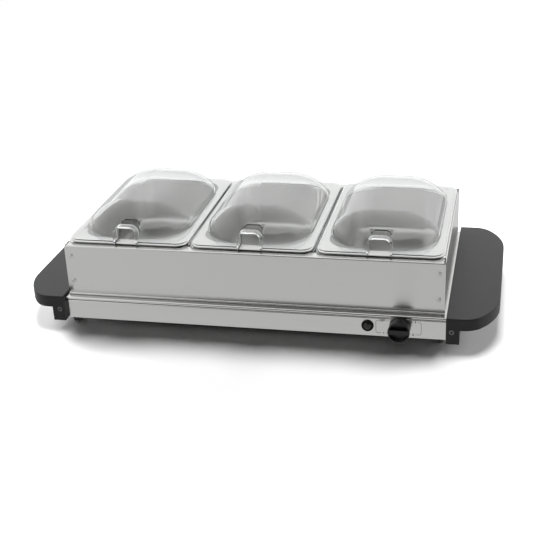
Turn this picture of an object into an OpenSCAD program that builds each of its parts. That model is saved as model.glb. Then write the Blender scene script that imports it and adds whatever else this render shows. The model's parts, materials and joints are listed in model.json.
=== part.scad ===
// Electric buffet server: a heated base with two moulded handles, a folded sheet frame that
// lifts off the warming plate, three drawn pans hung in the frame and three clear domed lids.
// Millimetres. X runs along the length, the knob faces -Y and Z is the height above the table.

/* [Lids] */
// Length of one lid along X
lid_w = 165; // [158:1:172]
// Depth of one lid along Y
lid_d = 257; // [246:1:268]
// Plan radius of the lid's corners
lid_corner = 17; // [12:1:22]
// Wall of the clear moulding
lid_t = 2; // [1.6:0.1:2.6]
// Outside radius of the lid's edge
lid_edge_r = 3.6; // [2.8:0.1:4]
// Gap between the lid's flange and the pan's rim
lid_rest = 0.2; // [0.1:0.05:0.4]
// Reach of the skirt below the flange
skirt_h = 3; // [2:0.1:3.2]
// Flange width beside the dome, at the ends along X
lid_flange_x = 11; // [9:0.5:14]
// Flange width before and behind the dome
lid_flange_y = 15.5; // [13:0.5:18]
// Plan radius of the dome's corners
dome_corner = 56; // [48:1:56]
// Height of the dome above the pan's rim
dome_h = 36.2; // [33:0.1:40]
// Tight radius at the foot of the dome's section
dome_foot_r = 22; // [16:1:26]
// Clear width of the spoon slot
slot_w = 28; // [24:1:28]
// Height of the spoon slot above the pan's rim
slot_h = 21.6; // [18:0.2:25]
// Corner radius at the top of the spoon slot
slot_r = 8; // [5:0.5:10]
// Wall of the hoop over the spoon slot
hoop_t = 2; // [1.6:0.1:2.6]
// Depth of the hoop from the lid's front edge
hoop_depth = 10; // [8:0.5:12]
// Depth of the spoon slot from the lid's front edge into the dome
slot_depth = 36; // [34:0.5:40]
// Least straight run of the dome's front on each side of the slot
slot_side = 1.5; // [1:0.1:2]

/* [Pans] */
// Gap all round between the pan's rim and the lid's skirt
pan_clear = 0.4; // [0.3:0.1:0.8]
// Sheet thickness of the drawn pan
pan_t = 0.8; // [0.6:0.1:1]
// Height of the down-turned lip that stands on the frame
lip_h = 3.5; // [3.4:0.1:5]
// Outside radius of the turn between rim and lip
pan_bend = 2.5; // [1.5:0.1:3]
// Rim width at the ends along X
rim_x = 9.5; // [8:0.5:12]
// Rim width at the front and rear
rim_y = 12.3; // [11:0.1:14]
// Plan radius of the tub's corners at the rim
tub_corner = 34; // [28:1:40]
// Depth of the tub below the rim
tub_depth = 63; // [55:1:68]
// Draft of the tub's walls in degrees
tub_slope = 4; // [2:0.5:6]
// Radius between the tub's walls and floor
tub_fillet = 14; // [10:1:18]

/* [Frame] */
// Gap between neighbouring lids
lid_gap = 1.25; // [0.8:0.05:2]
// Distance from the lid's front edge to the frame's front face
frame_ledge = 5.9; // [5:0.1:8]
// Height of the frame
frame_h = 70.7; // [68:0.1:80]
// Sheet thickness of the frame
frame_t = 0.8; // [0.6:0.1:1]
// Outside radius of the frame's folds
frame_bend = 1.8; // [1.4:0.1:2.4]
// Width of the top flange at the front and rear
frame_top_y = 15; // [13:0.5:16]
// Width of the top flange at the ends
frame_top_x = 7; // [6:0.5:9]
// Width of the bottom flange
frame_low = 8; // [6:0.5:10]
// Gap between flanges that meet at a corner
flange_gap = 0.5; // [0.3:0.1:1]
// Length of the tab that each end turns behind the front and rear sheets
tab_w = 16; // [14:0.5:18]
// Distance of the tabs from the frame's top and bottom
tab_inset = 4; // [3:0.5:6]
// Width of the relief notch at each top corner
notch_w = 2.5; // [2:0.1:4]
// Rivet shank diameter
rivet_d = 3.2; // [2.8:0.1:3.6]
// Rivet head diameter
rivet_head_d = 6.5; // [5.5:0.1:7]
// Rivet head height
rivet_head_h = 1.3; // [1:0.1:1.6]
// Distance of the rivets from the frame's end
rivet_inset = 8; // [7:0.5:9]
// Height of the lower rivets above the plate
rivet_low = 21; // [15:1:26]
// Height of the upper rivets above the plate
rivet_high = 56; // [48:1:60]

/* [Base] */
// Reach of the plate beyond the frame at each end
plate_over_x = 2.5; // [2:0.1:4]
// Reach of the plate beyond the frame at the front and rear
plate_over_y = 9.6; // [8:0.1:12]
// Height of the warming plate's top above the table
plate_top = 37; // [36:0.1:40]
// Sheet thickness of the warming plate
plate_t = 1; // [0.8:0.1:1.2]
// Depth of the plate's turned-down rim
rim_h = 3.2; // [2.8:0.1:3.6]
// Outside radius of the plate's rim
rim_r = 2.2; // [1.6:0.1:2.6]
// Shadow gap between the rim and the panel below
rim_gap = 1; // [0.6:0.1:1.4]
// Height of the rubber feet
foot_h = 6.3; // [6:0.1:7]
// Foot diameter at the top
foot_d = 15; // [13:0.5:16]
// Foot diameter at the table
foot_low_d = 12.5; // [11:0.5:13]
// Distance of the feet from the base's ends
foot_inset_x = 9.5; // [9:0.5:14]
// Distance of the feet from the front and rear faces
foot_inset_y = 10; // [9:0.5:12]
// Sheet thickness of the panels and the bottom cover
panel_t = 0.8; // [0.6:0.1:1]
// Outside radius of the panels' folds
panel_bend = 1.8; // [1.4:0.1:2.2]
// Width of the panels' top flange
panel_top_w = 10; // [9:0.5:12]
// Width of the panels' bottom flange
panel_low_w = 22; // [20:0.5:24]
// Length of the ear that reaches into each handle
ear_l = 14; // [13:0.1:14]
// Height of the ear
ear_h = 16; // [12:1:18]
// Height of the bottom cover's end flanges
cover_lip = 13; // [10:0.5:16]
// Gap between the bottom cover and the panels' inner faces
cover_gap = 1.4; // [1.2:0.1:2]
// Distance of the bottom cover from the base's ends
cover_inset = 1; // [0.6:0.1:1.4]
// Distance of the outer cover screws from the base's ends
cover_screw_inset = 27.5; // [25:0.5:32]
// Distance of the inner cover screws from the middle
cover_screw_mid = 75; // [60:1:90]
// Distance of the cover screws from the front and rear faces
cover_screw_y = 10; // [9:0.5:12]
// Length of a vent slot
vent_l = 40; // [30:1:45]
// Width of a vent slot
vent_w = 3; // [2:0.5:4]
// Pitch of the vent slots
vent_pitch = 12; // [10:1:14]
// Vent slots in a row
vent_n = 9; // [5:1:11]

/* [Handles] */
// Gap between the base's end and the handle
handle_gap = 0.3; // [0.2:0.1:1]
// Reach of the handle from its inner edge
handle_reach = 64.4; // [58:0.1:70]
// Reach of the handle beyond the front and rear panels
handle_over = 8; // [6:0.5:10]
// Thickness of the handle's board
handle_t = 15.7; // [14:0.1:18]
// Height of the board's top above the plate
handle_rise = 3.7; // [2:0.1:5]
// Width of the end wall under the board
end_wall_w = 16.9; // [16.8:0.1:19]
// Height of the end wall's lower edge above the table
end_wall_low = 5.5; // [4.5:0.1:6]
// Length of the board's outer corner curves along Y
handle_corner_y = 70; // [60:1:80]
// Length of the board's outer corner curves along X
handle_corner_x = 43; // [38:1:46]
// Tight radius of the board's outer corners
handle_corner_r = 28; // [22:1:32]
// Wall of the moulding
handle_shell = 3; // [2.5:0.1:3.5]
// Thickness of the ribs under the board
rib_t = 2; // [1.5:0.1:2.5]
// Ribs under the board
rib_n = 7; // [5:1:9]
// Distance of the handle screws from the base's end
handle_screw_x = 7.5; // [6:0.1:8]
// Depth of the handle screws below the plate's top
handle_screw_z = 15.3; // [14:0.1:17]
// Diameter of the recess round a handle screw
screw_recess_d = 6.8; // [6.4:0.1:8]
// Depth of the recess round a handle screw
screw_recess = 2.5; // [2.3:0.1:3]
// Head diameter of a handle screw
handle_head_d = 5.6; // [5:0.1:6.2]
// Length of a handle screw behind the face of the panel
screw_bite = 5; // [4:0.5:8]

/* [Controls] */
// Distance of the knob's axis from the base's right end
knob_inset = 57.5; // [54:0.5:64]
// Depth of the knob's axis below the plate's top
knob_drop = 14.8; // [14:0.1:15.5]
// Knob diameter at the panel
knob_d = 27; // [24:0.5:27]
// Knob diameter at the front
knob_front_d = 28; // [25:0.5:28.5]
// Length of the knob
knob_l = 17.5; // [16:0.5:20]
// Gap between the knob and the panel
knob_gap = 1; // [0.6:0.1:1.4]
// Depth of the finger pockets beside the grip bar
pocket_l = 6.5; // [5:0.5:9]
// Wall round the finger pockets
pocket_wall = 1.5; // [1.2:0.1:2]
// Thickness of the grip bar
grip_t = 6.5; // [5:0.1:8]
// Depth of the hollow in the knob's rear face
knob_hollow = 4; // [3:0.5:5]
// Outer diameter of the hub that holds the shaft
hub_d = 11; // [10:0.5:12]
// Thermostat shaft diameter
shaft_d = 6; // [5.5:0.1:6.5]
// Radial running clearance of the shaft in its bush
shaft_fit = 0.06; // [0.03:0.01:0.1]
// Depth of the flat on the shaft
shaft_flat = 1; // [0.6:0.1:1.4]
// Length of the shaft inside the knob
shaft_in_knob = 7.5; // [7:0.1:8]
// Diameter of the hole in the panel for the shaft
shaft_hole_d = 8; // [7.6:0.1:9]
// Distance from the knob's axis to the pilot lamp
lamp_offset = 41.3; // [38:0.1:46]
// Depth of the lamp's axis below the plate's top
lamp_drop = 16; // [15:0.1:17]
// Lamp bezel diameter
bezel_d = 16; // [15:0.5:17]
// Lamp bezel thickness outside the panel
bezel_t = 2; // [1.5:0.1:2.5]
// Wall of the lamp body at its rear and of the step that the lens sits on
bezel_wall = 1.5; // [1:0.1:2]
// Lamp body diameter
lamp_body_d = 13.4; // [13:0.1:14]
// Lamp body length behind the panel
lamp_body_l = 22; // [18:1:26]
// Lens diameter
lens_d = 9.6; // [9:0.1:11.4]
// Crown of the lens beyond the bezel
lens_crown = 1.2; // [0.8:0.1:1.6]
// Depth of the lens behind the panel's face
lens_seat = 2; // [1.5:0.1:2.2]
// Diameter of the neon lamp
neon_d = 5; // [4.5:0.1:6]

/* [Heater and wiring] */
// Thickness of the heat spreader
spreader_t = 1.5; // [1:0.1:2]
// Outer diameter of the sheathed heating tube
tube_d = 6.5; // [6:0.1:7]
// Room between the heat shield and the front and rear faces
service_y = 49; // [46:0.5:52]
// Distance from the shield's edge to the outer runs of the heating tube
tube_edge = 20; // [16:1:24]
// Distance from the base's end to the heating tube's bends
tube_inset = 72; // [70:1:80]
// Reach of the tube's straight ends beyond its bends
tube_tail = 24; // [20:1:26]
// Length of the element's terminal pins
pin_l = 14; // [12:0.5:15]
// Reach of the heat spreader beyond the tube
spreader_over = 10; // [6:1:12]
// Gap left beside a tube or other round piece that is held
seat_gap = 0.1; // [0.05:0.01:0.15]
// Width of a clamp strip
clamp_w = 12; // [10:1:14]
// Thickness of a clamp strip
clamp_t = 1; // [0.8:0.1:1.2]
// Height of the heat shield's top above the base's inside floor
shield_h = 14.9; // [12:0.1:15]
// Width of the heat shield's feet
shield_foot = 12; // [10:1:14]
// Distance of the shield's screws from its front and rear edges
shield_screw_inset = 15; // [12:1:20]
// Distance of the plate's studs from the base's ends
stud_inset_x = 17.5; // [16:0.5:20]
// Distance of the plate's studs from the front and rear faces
stud_inset_y = 5.5; // [5:0.1:6]
// Length of a stud beyond its nut
stud_over = 2; // [1:0.1:2.5]
// Length of a clamp stud beyond its nut
clamp_over = 0.4; // [0.2:0.1:1]
// Diameter of the welded studs and their nuts' threads
stud_d = 4; // [3.5:0.1:4.5]
// Diameter of the spacer shoulder on the plate's studs
shoulder_d = 7; // [6.5:0.1:7.5]
// Nut width across flats
nut_af = 7; // [6.5:0.1:7.5]
// Nut height
nut_h = 2.4; // [2:0.1:2.5]
// Sheet-metal screw diameter
screw_d = 3.5; // [3:0.1:3.6]
// Sheet-metal screw head diameter
screw_head_d = 7; // [6.5:0.1:7.5]
// Sheet-metal screw head height
screw_head_h = 2; // [1.8:0.1:2.2]
// Radial clearance of a hole round its screw
hole_clear = 0.12; // [0.1:0.01:0.2]
// Thermostat body width
stat_w = 22; // [20:0.5:22]
// Thermostat body height
stat_h = 18; // [16:0.5:18]
// Thermostat body length
stat_l = 20; // [18:0.5:22]
// Diameter of the thermostat's threaded bush
bush_d = 9.5; // [9:0.1:10]
// Width across flats of the bush's nut
bush_nut_af = 13; // [12:0.1:13]
// Distance from the panel's inner face to the bracket
bracket_gap = 7; // [6:0.1:8]
// Distance from the panel's inner face to the end of the bush
bush_gap = 1; // [0.6:0.1:1.4]
// Width of the thermostat's bracket
bracket_w = 34; // [30:1:36]
// Thickness of the bracket
bracket_t = 1; // [0.8:0.1:1.2]
// Length of the bracket's foot
bracket_foot = 32; // [30:1:34]
// Distance of the bracket's screws from the end of its foot
bracket_screw_inset = 5; // [4.5:0.1:6]
// Distance from the cord's axis to the base's right end
gland_inset = 82.5; // [78:0.5:90]
// Height of the cord's axis above the table
gland_z = 20; // [19:0.1:21]
// Bore of the cord gland for the mains cord
cord_d = 6.8; // [6:0.1:7.4]
// Diameter of the cord gland's body
gland_d = 12; // [11.5:0.1:13]
// Diameter of the cord gland's collar
gland_collar_d = 17; // [16:0.5:18]
// Reach of the cord gland's tail behind the panel
gland_tail = 18.5; // [14:0.5:22]
// Diameter of the tail's end
gland_end_d = 9.6; // [9:0.1:10.5]
// Reach of the cord gland's body inside the panel
gland_in = 13; // [11:0.5:14]
// Outer diameter of an insulated lead
lead_d = 2.4; // [2:0.1:2.6]
// Bend radius of the leads at their centre
lead_bend = 3; // [2.5:0.1:3.2]
// Length of a lead's straight run before its first bend at a terminal
lead_out = 8; // [7:0.5:10]
// Height of the leads that run along the floor
lead_low = 3; // [2:0.1:4]
// Distance of the lamp's two terminals from its axis
lamp_pin = 3.5; // [3:0.1:4]
// Length of the thermal fuse
fuse_l = 14; // [12:0.5:15]
// Diameter of the thermal fuse
fuse_d = 4.2; // [3.6:0.1:4.6]
// Distance of the terminal block's middle from the rear face
block_inset = 37; // [36:0.5:38]
// Diameter of a clamping screw in the terminal block
block_screw_d = 4; // [3.5:0.1:4.5]
// Distance of the earth screw from the base's right end
earth_inset = 34; // [30:0.5:36]
// Length of the terminal block along X
block_w = 32; // [30:1:34]
// Depth of the terminal block
block_d = 20; // [18:1:22]
// Height of the terminal block
block_h = 14; // [12:1:15]

/* [Hidden] */
$fn = 64;
// Reach of a cutting tool past the face it cuts
cut = 1;
pan_pitch = lid_w + lid_gap;
frame_w = 3 * pan_pitch + lid_gap;
frame_d = lid_d + 2 * frame_ledge;
base_w = frame_w + 2 * plate_over_x;
base_d = frame_d + 2 * plate_over_y;
half_w = base_w / 2;
half_d = base_d / 2;
frame_top = plate_top + frame_h;
rim_top = frame_top + lip_h;
pan_w = lid_w - 2 * (lid_t + pan_clear);
pan_d = lid_d - 2 * (lid_t + pan_clear);
pan_corner = lid_corner - lid_t - pan_clear;
tub_w = pan_w - 2 * rim_x;
tub_d = pan_d - 2 * rim_y;
dome_w = lid_w - 2 * lid_flange_x;
dome_d = lid_d - 2 * lid_flange_y;
// The corners are limited by the straight front that the slot needs.
dome_r = min(dome_corner, (dome_w - slot_w) / 2 - slot_side);
dome_cx = dome_r - dome_foot_r;
dome_wide = (dome_r * (dome_r - 2 * dome_foot_r) + dome_h * dome_h)
  / (2 * (dome_h - dome_foot_r));
dome_ux = dome_cx / (dome_wide - dome_foot_r);
dome_uy = (dome_wide - dome_h) / (dome_wide - dome_foot_r);
dome_far = dome_r + dome_h;
panel_top = plate_top - rim_h - rim_gap;
panel_h = panel_top - foot_h;
cover_z = foot_h + panel_t;
floor_z = cover_z + panel_t;
cover_w = base_w - 2 * cover_inset;
cover_d = base_d - 2 * (panel_t + cover_gap);
inner_y = half_d - panel_t;
handle_x = half_w + handle_gap;
handle_half = half_d + handle_over;
board_z = plate_top + handle_rise - handle_t;
handle_sx = half_w + handle_screw_x;
handle_sz = plate_top - handle_screw_z;
stud_x = half_w - stud_inset_x;
stud_y = half_d - stud_inset_y;
cover_sx = [half_w - cover_screw_inset, cover_screw_mid];
cover_sy = half_d - cover_screw_y;
foot_x = half_w - foot_inset_x;
foot_y = half_d - foot_inset_y;
knob_x = half_w - knob_inset;
knob_z = plate_top - knob_drop;
knob_back = -half_d - knob_gap;
knob_front = knob_back - knob_l;
lamp_x = knob_x - lamp_offset;
lamp_z = plate_top - lamp_drop;
bracket_y = -inner_y + bracket_gap;
stat_y = bracket_y + bracket_t;
spreader_z = plate_top - plate_t - spreader_t;
tube_z = spreader_z - seat_gap - tube_d / 2;
tube_half = half_w - tube_inset;
tube_end = tube_half + tube_tail;
clamp_z = tube_z - tube_d / 2 - seat_gap - clamp_t;
clamp_x = [tube_half * 0.84, tube_half * 0.33];
pin_x = tube_end + pin_l;
shield_w = 2 * tube_half;
shield_d = base_d - 2 * service_y;
tube_pitch = (shield_d - 2 * tube_edge) / 3;
shield_z = floor_z + shield_h;
gland_x = half_w - gland_inset;
block_y = half_d - block_inset;
block_side = gland_x + block_w / 2;
earth_x = half_w - earth_inset;
earth_y = block_y + block_d * 0.3;

// Quarter of a disc in the first quadrant.
module quarter(r) {
  intersection() {
    circle(r);
    square(r);
  }
}

// Rectangle with round corners, centred.
module rounded(w, d, r) {
  square([w, d - 2 * r], center = true);
  for (s = [-1, 1])
    translate([r - w / 2, s * (d - r) / 2 - r / 2])
      square([w - 2 * r, r]);
  for (k = [0:3])
    translate([(k == 0 || k == 3) ? w / 2 - r : r - w / 2, k < 2 ? d / 2 - r : r - d / 2])
      rotate(90 * k)
        quarter(r);
}

// Quarter of an oval with half axes a and b, drawn with two tangent arcs; r is the tight one.
module oval_quarter(a, b, r) {
  wide = (a * a - 2 * a * r + b * b) / (2 * (b - r));
  ux = (a - r) / (wide - r);
  uy = (wide - b) / (wide - r);
  far = a + b;
  intersection() {
    translate([0, b - wide])
      circle(wide);
    polygon([[0, 0], [a - r, 0], [a - r + far * ux, far * uy], [0, 2 * far]]);
  }
  intersection() {
    translate([a - r, 0])
      circle(r);
    polygon([[a - r, 0], [a + far, 0], [a - r + far * ux, far * uy]]);
  }
}

// Quarter of a ring: the section of one fold in sheet metal.
module bend(t, r) {
  difference() {
    quarter(r);
    circle(r - t);
  }
}

// Section of a folded sheet: a web of height h with a flange at its top and at its foot.
module folded(h, top, low, t, r) {
  translate([0, r])
    square([t, h - 2 * r]);
  translate([r, h - r])
    rotate(90)
      bend(t, r);
  translate([r, h - t])
    square([top - r, t]);
  translate([r, r])
    rotate(180)
      bend(t, r);
  translate([r, 0])
    square([low - r, t]);
}

// Front side of a sweep round a rectangle with half sizes hx and hy.
module swept_front(hx, hy) {
  mirror([0, 1, 0])
    translate([-hx, hy, 0])
      rotate([90, 0, 90])
        linear_extrude(2 * hx)
          children();
}

// The other three sides and the four corners of the sweep.
module swept_others(hx, hy) {
  for (k = [0:3])
    translate([(k == 0 || k == 3) ? hx : -hx, k < 2 ? hy : -hy, 0])
      rotate(90 * k)
        rotate_extrude(angle = 90)
          children();
  for (m = [0, 1])
    mirror([m, 0, 0])
      translate([hx, hy, 0])
        rotate([90, 0, 0])
          linear_extrude(2 * hy)
            children();
  mirror([0, 1, 0])
    swept_front(hx, hy)
      children();
}

// The same, with the middle closed from z0 to z1.
module swept_rest(hx, hy, z0, z1) {
  swept_others(hx, hy)
    children();
  translate([-hx, -hy, z0])
    cube([2 * hx, 2 * hy, z1 - z0]);
}

// Screw along +Z with its head below zero.
module screw(d, l, head_d, head_h) {
  cylinder(d = d, h = l);
  rotate_extrude()
    polygon([[0, 0], [head_d / 2, 0], [head_d / 2, -head_h * 0.45], [head_d * 0.3, -head_h],
      [0, -head_h]]);
}

// Hexagon nut along +Z with its own bore.
module nut(af, h, bore) {
  difference() {
    cylinder(d = af / cos(30), h = h, $fn = 6);
    translate([0, 0, -1])
      cylinder(d = bore, h = h + 2);
  }
}

// Round insulated lead through a list of points, with a bend wherever it turns a square corner.
module lead(points) {
  last = len(points) - 1;
  for (i = [0:last - 1]) {
    v = points[i + 1] - points[i];
    u = v / norm(v);
    head = i == 0 ? 0 : lead_bend;
    tail = i == last - 1 ? 0 : lead_bend;
    translate(points[i] + head * u)
      rotate([0, acos(u[2]), atan2(u[1], u[0])])
        cylinder(d = lead_d, h = norm(v) - head - tail);
  }
  if (last > 1)
    for (i = [1:last - 1]) {
      u = (points[i] - points[i - 1]) / norm(points[i] - points[i - 1]);
      v = (points[i + 1] - points[i]) / norm(points[i + 1] - points[i]);
      w = cross(u, v);
      c = points[i] + lead_bend * (v - u);
      multmatrix([[-v[0], u[0], w[0], c[0]], [-v[1], u[1], w[1], c[1]], [-v[2], u[2], w[2], c[2]],
        [0, 0, 0, 1]])
        rotate_extrude(angle = 90)
          translate([lead_bend, 0])
            circle(d = lead_d);
    }
}

// Base

module warming_plate() {
  color("silver")
    translate([-half_w, -half_d, plate_top])
      rotate([0, 90, 0])
        linear_extrude(base_w)
          folded(base_d, rim_h, rim_h, plate_t, rim_r);
}

module at_studs() {
  for (x = [-stud_x, 0, stud_x], s = [-1, 1])
    translate([x, s * stud_y, 0])
      children();
}

module plate_studs() {
  color("grey")
    at_studs() {
      translate([0, 0, panel_top])
        cylinder(d = shoulder_d, h = plate_top - plate_t - panel_top);
      translate([0, 0, panel_top - panel_t - nut_h - stud_over])
        cylinder(d = stud_d, h = panel_t + nut_h + stud_over);
    }
}

module stud_nuts() {
  color("grey")
    at_studs()
      translate([0, 0, panel_top - panel_t - nut_h])
        nut(nut_af, nut_h, stud_d + 2 * hole_clear);
}

module at_clamp_studs() {
  for (x = clamp_x, sx = [-1, 1], sy = [-1, 1])
    translate([sx * x, sy * tube_pitch, 0])
      children();
}

module heat_spreader() {
  color("gainsboro")
    difference() {
      translate([-tube_half - tube_pitch / 2 - spreader_over, -shield_d / 2, spreader_z])
        cube([2 * (tube_half + spreader_over) + tube_pitch, shield_d, spreader_t]);
      at_clamp_studs()
        translate([0, 0, spreader_z - 1])
          cylinder(d = stud_d + 2 * hole_clear, h = spreader_t + 2);
    }
}

module tube_run(y, x0, x1) {
  translate([x0, y, tube_z])
    rotate([0, 90, 0])
      cylinder(d = tube_d, h = x1 - x0);
}

module tube_bend(x, y, turn) {
  translate([x, y, tube_z])
    rotate(turn)
      rotate_extrude(angle = 180)
        translate([tube_pitch / 2, 0])
          circle(d = tube_d);
}

module heating_element() {
  color("dimgray") {
    tube_run(-1.5 * tube_pitch, -tube_half, tube_end);
    tube_run(-0.5 * tube_pitch, -tube_half, tube_half);
    tube_run(0.5 * tube_pitch, -tube_half, tube_half);
    tube_run(1.5 * tube_pitch, -tube_half, tube_end);
    tube_bend(-tube_half, -tube_pitch, 90);
    tube_bend(tube_half, 0, -90);
    tube_bend(-tube_half, tube_pitch, 90);
  }
}

module element_pins() {
  color("tan")
    for (s = [-1, 1])
      translate([tube_end, s * 1.5 * tube_pitch, tube_z])
        rotate([0, 90, 0])
          cylinder(d = lead_d, h = pin_l);
}

module element_clamps() {
  color("silver")
    difference() {
      for (x = clamp_x, s = [-1, 1])
        translate([s * x - clamp_w / 2, -1.5 * tube_pitch - tube_d, clamp_z])
          cube([clamp_w, 3 * tube_pitch + 2 * tube_d, clamp_t]);
      at_clamp_studs()
        translate([0, 0, clamp_z - 1])
          cylinder(d = stud_d + 2 * hole_clear, h = clamp_t + 2);
    }
}

module clamp_studs() {
  color("grey")
    at_clamp_studs()
      translate([0, 0, clamp_z - nut_h - clamp_over])
        cylinder(d = stud_d, h = plate_top - plate_t - clamp_z + nut_h + clamp_over);
}

module clamp_nuts() {
  color("grey")
    at_clamp_studs()
      translate([0, 0, clamp_z - nut_h])
        nut(nut_af, nut_h, stud_d + 2 * hole_clear);
}

module at_shield_screws() {
  for (sx = [-1, 1], sy = [-1, 1])
    translate([sx * (shield_w / 2 + shield_foot / 2), sy * (shield_d / 2 - shield_screw_inset), 0])
      children();
}

module heat_shield() {
  color("silver")
    difference() {
      translate([0, shield_d / 2, 0])
        rotate([90, 0, 0])
          linear_extrude(shield_d) {
            translate([-shield_w / 2, shield_z - panel_t])
              square([shield_w, panel_t]);
            for (s = [-1, 1]) {
              translate([s * (shield_w - panel_t) / 2 - panel_t / 2, floor_z])
                square([panel_t, shield_h]);
              translate([s * (shield_w + shield_foot) / 2 - shield_foot / 2, floor_z])
                square([shield_foot, panel_t]);
            }
          }
      at_shield_screws()
        translate([0, 0, floor_z - 1])
          cylinder(d = screw_d + 2 * hole_clear, h = panel_t + 2);
    }
}

module shield_screws() {
  color("grey")
    at_shield_screws()
      translate([0, 0, floor_z + panel_t])
        mirror([0, 0, 1])
          screw(screw_d, panel_t * 2 + 0.6, screw_head_d, screw_head_h);
}

module ears() {
  for (s = [-1, 1])
    translate([s * (half_w + ear_l / 2) - ear_l / 2, -half_d, handle_sz - ear_h / 2])
      cube([ear_l, panel_t, ear_h]);
}

module front_blank() {
  difference() {
    union() {
      translate([-half_w, -half_d, foot_h])
        rotate([90, 0, 90])
          linear_extrude(base_w)
            folded(panel_h, panel_top_w, panel_low_w, panel_t, panel_bend);
      ears();
    }
    at_studs()
      translate([0, 0, panel_top - panel_t - 1])
        cylinder(d = stud_d + 2 * hole_clear, h = panel_t + 2);
    at_cover_screws()
      translate([0, 0, foot_h - 1])
        cylinder(d = screw_d + 2 * hole_clear, h = panel_t + 2);
    at_feet()
      translate([0, 0, foot_h - 1])
        cylinder(d = screw_d + 2 * hole_clear, h = panel_t + 2);
    for (s = [-1, 1])
      translate([s * handle_sx, -half_d - 1, handle_sz])
        rotate([-90, 0, 0])
          cylinder(d = screw_d + 2 * hole_clear, h = panel_t + 2);
  }
}

module front_panel() {
  color("silver")
    difference() {
      front_blank();
      translate([knob_x, -half_d - 1, knob_z])
        rotate([-90, 0, 0])
          cylinder(d = shaft_hole_d, h = panel_t + 2);
      translate([lamp_x, -half_d - 1, lamp_z])
        rotate([-90, 0, 0])
          cylinder(d = lamp_body_d + 2 * hole_clear, h = panel_t + 2);
    }
}

module rear_panel() {
  color("silver")
    difference() {
      mirror([0, 1, 0])
        front_blank();
      translate([gland_x, inner_y - 1, gland_z])
        rotate([-90, 0, 0])
          cylinder(d = gland_d + 2 * hole_clear, h = panel_t + 2);
    }
}

module at_cover_screws() {
  for (x = cover_sx, sx = [-1, 1], sy = [-1, 1])
    translate([sx * x, sy * cover_sy, 0])
      children();
}

module at_feet() {
  for (sx = [-1, 1], sy = [-1, 1])
    translate([sx * foot_x, sy * foot_y, 0])
      children();
}

module at_bracket_screws() {
  for (s = [-1, 1])
    translate([knob_x + s * bracket_w / 4, bracket_y + bracket_foot - bracket_screw_inset, 0])
      children();
}

module at_block_screw() {
  translate([gland_x, block_y, 0])
    children();
}

module bottom_cover() {
  color("silver")
    difference() {
      translate([-cover_w / 2, -cover_d / 2, cover_z])
        rotate([0, -90, -90])
          linear_extrude(cover_d)
            folded(cover_w, cover_lip, cover_lip, panel_t, panel_bend);
      translate([0, 0, cover_z - 1]) {
        at_cover_screws()
          cylinder(d = screw_d + 2 * hole_clear, h = panel_t + 2);
        at_feet()
          cylinder(d = screw_d + 2 * hole_clear, h = panel_t + 2);
        at_bracket_screws()
          cylinder(d = screw_d + 2 * hole_clear, h = panel_t + 2);
        at_shield_screws()
          cylinder(d = screw_d + 2 * hole_clear, h = panel_t + 2);
        at_block_screw()
          cylinder(d = screw_d + 2 * hole_clear, h = panel_t + 2);
        translate([earth_x, earth_y, 0])
          cylinder(d = screw_d + 2 * hole_clear, h = panel_t + 2);
        for (i = [0:vent_n - 1], s = [-1, 1])
          translate([(i - (vent_n - 1) / 2) * vent_pitch, s * shield_d / 5, 0])
            linear_extrude(panel_t + 2)
              rounded(vent_w, vent_l, vent_w / 2 - 0.01);
      }
    }
}

module cover_screws() {
  color("grey")
    at_cover_screws()
      translate([0, 0, foot_h])
        screw(screw_d, panel_t * 2 + 4, screw_head_d, screw_head_h);
}

module rubber_feet() {
  color("#222222")
    at_feet()
      difference() {
        cylinder(d1 = foot_low_d, d2 = foot_d, h = foot_h);
        translate([0, 0, -1])
          cylinder(d = screw_head_d + 1, h = 1.5 + screw_head_h);
        translate([0, 0, -1])
          cylinder(d = screw_d + 2 * hole_clear, h = foot_h + 2);
      }
}

module foot_screws() {
  color("grey")
    at_feet()
      translate([0, 0, 0.5 + screw_head_h])
        screw(screw_d, foot_h + 2 * panel_t + 1.5 - screw_head_h, screw_head_d, screw_head_h);
}

// Handles

// Plan of the board with its inner edge on the Y axis, drawn smaller by the inset.
module handle_plan(inset) {
  cx = handle_reach - handle_corner_x;
  cy = handle_half - handle_corner_y;
  translate([inset, inset - handle_half])
    square([cx - inset, 2 * (handle_half - inset)]);
  translate([cx, -cy])
    square([handle_corner_x - inset, 2 * cy]);
  for (m = [0, 1])
    mirror([0, m])
      translate([cx, cy])
        mirror([1, -1])
          oval_quarter(handle_corner_y - inset, handle_corner_x - inset, handle_corner_r - inset);
}

module handle_pocket() {
  difference() {
    intersection() {
      handle_plan(handle_shell);
      translate([end_wall_w, -handle_half])
        square([handle_reach, 2 * handle_half]);
    }
    for (i = [0:rib_n - 1])
      translate([0, (i - (rib_n - 1) / 2) * 2 * handle_half / (rib_n + 1) - rib_t / 2])
        square([handle_reach, rib_t]);
  }
}

module handle() {
  hollow_y = half_d + 2 * seat_gap;
  difference() {
    union() {
      translate([handle_x, 0, board_z])
        linear_extrude(handle_t)
          handle_plan(0);
      translate([handle_x, -handle_half, end_wall_low])
        cube([end_wall_w, 2 * handle_half, board_z - end_wall_low]);
    }
    translate([handle_x, 0, board_z - cut])
      linear_extrude(handle_t - handle_shell + cut)
        handle_pocket();
    translate([handle_x - cut, -hollow_y, end_wall_low + handle_shell])
      cube([end_wall_w - handle_shell + cut, 2 * hollow_y, plate_top - 2 * handle_shell - end_wall_low]);
    for (s = [-1, 1])
      translate([handle_sx, s * (handle_half + cut), handle_sz])
        rotate([s * 90, 0, 0]) {
          cylinder(d = screw_recess_d, h = screw_recess + cut);
          cylinder(d = screw_d + 2 * hole_clear, h = handle_over + 3 * cut);
        }
  }
}

module right_handle() {
  color("#2a2a2a")
    handle();
}

module left_handle() {
  color("#2a2a2a")
    mirror([1, 0, 0])
      handle();
}

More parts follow.
